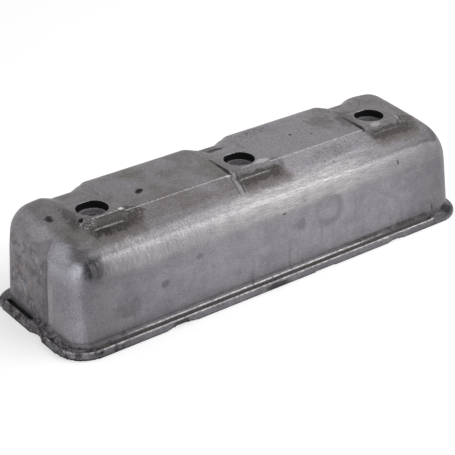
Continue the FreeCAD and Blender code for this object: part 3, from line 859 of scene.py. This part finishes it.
def seam_lines(r):
    """The raised seam beside the middle pad: light on top, with a line of painted shadow along each
    side.
    """
    start, end = Vector(SEAM_START), Vector(SEAM_END)
    run = (end - start).normalized()
    from_x = r.math("SUBTRACT", r.x, start.x)
    from_y = r.math("SUBTRACT", r.y, start.y)
    along = r.math("ADD", r.times(from_x, run.x), r.times(from_y, run.y))
    side = r.math("SUBTRACT", r.times(from_x, run.y), r.times(from_y, run.x))
    side = r.math("MULTIPLY_ADD", r.ragged, 0.0016, side)
    length = r.times(r.window(along, 0.0010, (end - start).length - 0.003, 0.003), r.on_roof)
    r.coat(PALE, length, r.window(side, -0.0010, 0.0010, 0.0012), r.times(r.dots, 0.6))
    left = r.window(side, -0.0034, -0.0026, 0.0006)
    right = r.window(side, 0.0026, 0.0034, 0.0006)
    # Painted shadow beside the seam, stronger on one side.
    r.coat(GRIME, length, r.most(left, r.times(right, 0.6)), 0.70)


def broken_metal(r):
    """The break shows bright crumbs between dark pits."""
    around = r.blot((STUDS[0] - 0.0165, -0.0165, 0.0940), (0.0110, 0.0110, 0.0120))
    broken = r.times(r.kept("broken"), around)
    crumbs = r.noise(760.0, 3.0, 0.7)
    r.coat(GRIME, r.step(broken, 0.35, 0.75), r.step(crumbs, 0.56, 0.44), 0.85)
    r.coat(WORN, r.step(broken, 0.45, 0.85), r.step(crumbs, 0.54, 0.68), 0.72)
    pit = r.blot((STUDS[0] - 0.0180, -0.0115, 0.0940), (0.0036, 0.0028, 0.0060), 0.3)
    r.coat(SOOT, pit, 0.97)


def corner_stains_and_highlight(r):
    """The smudge on the front left corner, and the dark and light patches round it, among them a cool
    painted highlight.
    """
    smear = r.lean(r.step(r.drawn_out(330.0, 220.0, 120.0), 0.36, 0.60), 0.55, 1.0)
    smudge = r.blot((-0.1885, -0.0550, 0.0722), (0.0145, 0.0200, 0.0130), 0.3)
    r.coat(SMUDGE, smudge, smear, 0.97)
    r.patches(CORNER_PATCHES)


def front_stains(r):
    """Stains, a ring, upright streaks and drips on the front wall."""
    front = r.step(r.y, -0.050, -0.054)
    r.patches(FRONT_STAINS)
    away = r.vector("DISTANCE", r.place, STAIN_RING).outputs["Value"]
    ring = r.window(r.math("MULTIPLY_ADD", r.ragged, 0.0020, away), 0.0125, 0.0145, 0.004)
    r.coat(MAUVE, front, ring, r.step(r.x, 0.030, 0.062), 0.30)
    upright = r.step(r.drawn_out(140.0, 12.0, 14.0), 0.54, 0.78)
    r.coat(MAUVE, front, upright, r.step(r.z, 0.060, 0.020), r.step(r.x, -0.12, 0.00), 0.34)
    drips = r.step(r.drawn_out(120.0, 20.0, 45.0), 0.60, 0.72)
    r.coat(GRIME, front, drips, r.window(r.z, FLANGE_TOP, 0.0110, 0.006), 0.50)
    r.patches(FRONT_NICKS)


def left_end_stains_and_light(r):
    """Brown, dark and light patches on the left end wall, a cool painted highlight, and the line of
    its crease with painted shade behind it and painted light in front of it.
    """
    below_roof = r.step(r.z, ROOF_LINE - 0.0005, ROOF_LINE - 0.010)
    end = r.times(r.step(r.x, LOW.x + 0.0230, LOW.x + 0.0190), below_roof)
    brown = r.step(r.noise(75.0, 6.0, 0.72), 0.50, 0.60)
    r.coat(BROWN, end, brown, r.window(r.z, 0.035, 0.075, 0.012), r.step(r.y, -0.012, 0.004), 0.65)
    dark = r.step(r.noise(85.0, 6.0, 0.75), 0.47, 0.60)
    r.coat(MAUVE, end, dark, r.step(r.y, -0.022, -0.012), 0.75)
    light = r.step(r.noise(105.0, 6.0, 0.75), 0.54, 0.66)
    r.coat(PALE, end, light, r.step(r.y, -0.022, -0.006), 0.50)
    # Painted highlight, cool, on the upper turn of the front corner.
    r.coat(COOL_HIGHLIGHT, end, r.window(r.y, -0.0500, -0.0240, 0.010), r.step(r.z, 0.055, 0.072), 0.55)
    shift = r.math("MULTIPLY_ADD", r.step(r.z, 0.062, 0.090), -0.0045, 0.0160)
    across = r.math("ADD", r.y, shift)
    tall = r.times(end, r.step(r.z, 0.0090, 0.0120), r.step(r.z, 0.080, 0.042))
    # A dark line along the crease, then painted shade on its flat side and painted light on its
    # corner side.
    r.coat(GRIME, tall, r.window(across, -0.0002, 0.0002, 0.0009), 0.75)
    r.coat(MAUVE, tall, r.window(across, 0.0005, 0.0050, 0.004), 0.45)
    r.coat(PALE, tall, r.window(across, -0.0070, -0.0016, 0.003), r.step(r.z, 0.066, 0.040), 0.25)


def flange_beads(r):
    """Two thin light lines, painted highlights on the beads along the front of the flange, a darkened
    groove between them, and dirt along the foot.
    """
    # The flange below about 12 mm is darker overall.
    low = r.step(r.z, 0.0125, 0.0105)
    r.shade(r.lean(low, 1.0, 0.74))
    top = r.times(low, r.step(r.z, 0.0060, 0.0070))
    dotted = r.lean(r.step(r.dots, 0.34, 0.52), 0.40, 1.0)
    front = r.window(r.x, -0.1960, 0.1780, 0.003)
    groove = r.window(r.y, GROOVE_Y - 0.0019, GROOVE_Y + 0.0019, 0.0006)
    r.coat(GRIME, low, groove, front, 0.85)
    foot = r.window(r.y, FOOT_Y - 0.0002, FOOT_Y + 0.0030, 0.0010)
    spread = r.step(r.noise(140.0, 5.0, 0.7), 0.34, 0.62)
    r.coat(GRIME, low, foot, front, spread, r.step(r.x, 0.04, 0.10), 0.9)
    # Painted highlights along the lip and the inner bead.
    lip = r.window(r.y, LIP_Y - 0.0006, LIP_Y + 0.0005, 0.0006)
    r.coat(PALE, top, lip, front, dotted, 0.75)
    inner = r.window(r.y, FOOT_Y - 0.0007, FOOT_Y + 0.0001, 0.0005)
    inner = r.times(inner, r.step(r.x, 0.140, 0.070), r.step(r.x, -0.190, -0.130))
    r.coat(PALE, top, inner, front, dotted, 0.85)


def flange_edges(r):
    """Black lower edges, and dark patches that grow towards the left end."""
    under = r.math("MULTIPLY_ADD", r.ragged, 0.0016, r.z)
    left = r.step(r.x, -0.150, -0.195)
    r.coat(SOOT, r.step(under, 0.0024, 0.0006), r.lean(left, 0.50, 0.97))
    r.coat(SOOT, r.blot(EDGE_BITE, (0.0160, 0.0120, 0.0042), 0.5), 0.70)
    patches = r.step(r.noise(110.0, 6.0, 0.72), 0.50, 0.56)
    r.coat(SOOT, patches, r.step(under, 0.0095, 0.0060), left, 0.80)
    blotchy = r.step(r.noise(120.0, 6.0, 0.72), 0.50, 0.64)
    r.coat(MAUVE, r.step(r.z, 0.0095, 0.0080), blotchy, r.lean(left, 0.45, 0.80))


def left_flange(r):
    """The left end of the flange is rough and speckled, with black painted shadow in the slot along
    the wall.
    """
    speckle = r.noise(380.0, 4.0, 0.75)
    rough = r.times(r.step(r.x, LOW.x + 0.0125, LOW.x + 0.0100), r.step(r.z, 0.0110, 0.0090))
    r.coat(GRIME, rough, r.step(speckle, 0.54, 0.38), 0.60)
    r.coat(PALE, rough, r.step(speckle, 0.58, 0.70), 0.50)
    # Painted shadow in the slot between the flange lip and the wall.
    shaded_gap = r.window(r.x, LOW.x + 0.0052, LOW.x + 0.0090, 0.0010)
    shaded_gap = r.times(shaded_gap, r.window(r.y, 0.0090, 0.0455, 0.005), r.step(r.z, 0.0078, 0.0070))
    r.coat(SOOT, shaded_gap, 0.84)


def wear_and_hollow_shade(r, thickness):
    """Dark in the hollows of the form, dirt and painted shade, and bare metal on its outer edges."""
    packed_and_shaded = r.step(r.kept("hollow"), 0.22, 0.70)
    uneven = r.math("MULTIPLY_ADD", r.mottle, 0.5, 0.5)
    r.coat(SOOT, packed_and_shaded, uneven, r.step(r.z, 0.0750, 0.0700))
    scuffs = r.step(r.noise(260.0, 5.0, 0.7), 0.42, 0.60)
    r.coat(WORN, r.step(r.kept("edge"), 0.30, 0.75), scuffs, thickness)


def hollow_film(r):
    """The hollow is filmed with oil, the recesses are not."""
    recess = r.times(r.step(r.from_stud, RECESS + 0.0014, RECESS + 0.0009), r.on_roof)
    thickness = r.math("MULTIPLY_ADD", r.mottle, 0.6, 0.35)
    r.coat(OIL_FILM, r.kept("inside"), r.without(recess), thickness)


def cut_face(r):
    """The gasket face is cut flat and shows the cutter's lines."""
    below = r.times(r.step(r.z, 0.0009, 0.0005), r.step(r.up, -0.6, -0.9))
    lines = r.math("MULTIPLY_ADD", r.drawn_out(60.0, 2600.0, 60.0), 0.5, 0.5)
    r.coat(MACHINED, below, lines)


def finished(r, strokes):
    """Lead the recipe into the shader, with a grainy surface."""
    r.feed(r.shader.inputs["Base Color"], r.colour)
    r.feed(r.shader.inputs["Metallic"], r.metal)
    r.feed(r.shader.inputs["Roughness"], r.rough)
    r.feed(r.shader.inputs["Specular IOR Level"], r.lean(r.metal, 0.12, 0.5))
    height = r.math("MULTIPLY_ADD", r.mottle, 0.8, r.times(r.grain, 0.45))
    coarse = r.node("ShaderNodeBump", {"Strength": 0.6, "Distance": 0.0007, "Height": height})
    height = r.math("MULTIPLY_ADD", r.noise(1500.0, 2.0, 0.6), 0.8, r.times(strokes, 0.4))
    fine = r.node("ShaderNodeBump", {"Strength": 0.6, "Distance": 0.0003, "Height": height})
    r.feed(fine.inputs["Normal"], coarse.outputs[0])
    r.feed(r.shader.inputs["Normal"], fine.outputs[0])
    return r.material


def roof_metal():
    """Cast aluminium of the roof: filmed with oil, dirty round the bosses, worn on its edges, with
    painted shade and painted highlights on its forms.
    """
    r = Recipe("cast_roof")
    bare_metal_and_painted_light(r)
    roof_film(r)
    roof_spots(r)
    corner_stains_and_highlight(r)
    worn_sheen, strokes = worn_shoulder_sheen(r)
    scratches_and_painted_shade(r)
    bosses(r)
    panel_crease(r)
    seam_lines(r)
    wear_and_hollow_shade(r, r.times(r.step(r.from_stud, 0.0145, 0.0175), 0.25))
    broken_metal(r)
    grained(r, worn_sheen)
    hollow_film(r)
    return finished(r, strokes)


def wall_metal():
    """Cast aluminium of the walls and the flange: stained, with dirt caked along the foot, and with
    painted shade and painted highlights on its forms.
    """
    r = Recipe("cast_walls")
    bare_metal_and_painted_light(r)
    front_stains(r)
    left_end_stains_and_light(r)
    corner_stains_and_highlight(r)
    worn_sheen, strokes = worn_shoulder_sheen(r)
    scratches_and_painted_shade(r)
    wear_and_hollow_shade(r, r.lean(r.step(r.z, 0.0120, 0.0140), 0.60, 0.25))
    flange_beads(r)
    flange_edges(r)
    left_flange(r)
    r.patches(RIGHT_FOOT)
    grained(r, worn_sheen)
    hollow_film(r)
    cut_face(r)
    return finished(r, strokes)


# ---------------------------------------------------------------- studio


def pale_floor_finish():
    """Nearly white and matt, a little brighter to the eye so that it stays pale."""
    material = bpy.data.materials.new("pale_floor")
    material.use_nodes = True
    tree = material.node_tree
    shader = tree.nodes["Principled BSDF"]
    shader.inputs["Base Color"].default_value = (0.93, 0.93, 0.93, 1.0)
    shader.inputs["Roughness"].default_value = 0.9
    shader.inputs["Specular IOR Level"].default_value = 0.0
    shader.inputs["Emission Color"].default_value = (1.0, 1.0, 1.0, 1.0)
    path = tree.nodes.new("ShaderNodeLightPath")
    seen = math_node(tree, "MAXIMUM", path.outputs["Is Camera Ray"], path.outputs["Is Glossy Ray"])
    glow = math_node(tree, "MULTIPLY", seen, 0.35)
    tree.links.new(glow, shader.inputs["Emission Strength"])
    return material


def floor_under():
    """A wide pale floor under the cover, that holds its shadow."""
    mesh = bpy.data.meshes.new("floor")
    half, level = 6.0, LOW.z - 0.0002
    corners = [(-half, -half, level), (half, -half, level), (half, half, level), (-half, half, level)]
    mesh.from_pydata(corners, [], [(0, 1, 2, 3)])
    mesh.materials.append(pale_floor_finish())
    floor = bpy.data.objects.new("floor", mesh)
    bpy.context.scene.collection.objects.link(floor)


def surround():
    """White to the eye and in reflections, softer as a light."""
    world = bpy.data.worlds.new("studio")
    world.use_nodes = True
    bpy.context.scene.world = world
    tree = world.node_tree
    shade = tree.nodes["Background"]
    shade.inputs["Color"].default_value = (1.0, 1.0, 1.0, 1.0)
    path = tree.nodes.new("ShaderNodeLightPath")
    total = path.outputs["Is Camera Ray"]
    for name in ("Is Glossy Ray", "Is Transmission Ray"):
        total = math_node(tree, "MAXIMUM", total, path.outputs[name])
    level = tree.nodes.new("ShaderNodeMapRange")
    level.inputs["To Min"].default_value = 0.55
    level.inputs["To Max"].default_value = 1.0
    tree.links.new(total, level.inputs["Value"])
    tree.links.new(level.outputs["Result"], shade.inputs["Strength"])


def soft_box(name, towards, distance, size, power, colour=(1.0, 1.0, 1.0)):
    """A rectangular lamp that faces the middle of the cover."""
    lamp = bpy.data.lights.new(name, "AREA")
    lamp.shape = "RECTANGLE"
    lamp.size, lamp.size_y = size
    lamp.energy = power
    lamp.color = colour
    middle = (LOW + HIGH) / 2
    spot = middle + Vector(towards).normalized() * distance
    obj = bpy.data.objects.new(name, lamp)
    obj.location = spot
    obj.rotation_euler = (spot - middle).to_track_quat("Z", "Y").to_euler()
    bpy.context.scene.collection.objects.link(obj)


# The eye: its turn, its height, its tilt, and what it looks at.
AZIMUTH, ELEVATION, ROLL = math.radians(-36.41), math.radians(28.27), math.radians(-0.74)
DISTANCE = 1.3185
AIM = Vector((-0.01245, 0.00207, 0.02971))
LENS = 113.3


def camera():
    """The eye: to the front left, above the roof."""
    back = Vector((
        math.sin(AZIMUTH) * math.cos(ELEVATION),
        -math.cos(AZIMUTH) * math.cos(ELEVATION),
        math.sin(ELEVATION),
    ))
    side = (-back).cross(Vector((0.0, 0.0, 1.0))).normalized()
    above = side.cross(-back)
    right = side * math.cos(ROLL) + above * math.sin(ROLL)
    top = above * math.cos(ROLL) - side * math.sin(ROLL)
    data = bpy.data.cameras.new("eye")
    data.lens = LENS
    data.sensor_width = 36.0
    eye = bpy.data.objects.new("eye", data)
    eye.matrix_world = Matrix.Translation(AIM + back * DISTANCE) @ Matrix((
        (right.x, top.x, back.x, 0.0),
        (right.y, top.y, back.y, 0.0),
        (right.z, top.z, back.z, 0.0),
        (0.0, 0.0, 0.0, 1.0),
    ))
    bpy.context.scene.collection.objects.link(eye)
    bpy.context.scene.camera = eye


# ---------------------------------------------------------------- the whole scene

bpy.context.scene.view_settings.view_transform = "Standard"
camera()
surround()
floor_under()
soft_box("key_light", (0.52, -0.45, 0.69), 1.6, (1.5, 0.35), 9.0)
soft_box("left_light", (-0.80, -0.42, 0.10), 1.2, (0.30, 0.30), 0.8, (0.93, 0.95, 1.0))
soft_box("corner_light", (-0.589, -0.602, 0.499), 1.4, (0.30, 0.30), 0.8, (0.90, 0.94, 1.0))

casting = cast_skin(wall_metal(), roof_metal())
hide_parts(NODE)
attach(casting, "root")
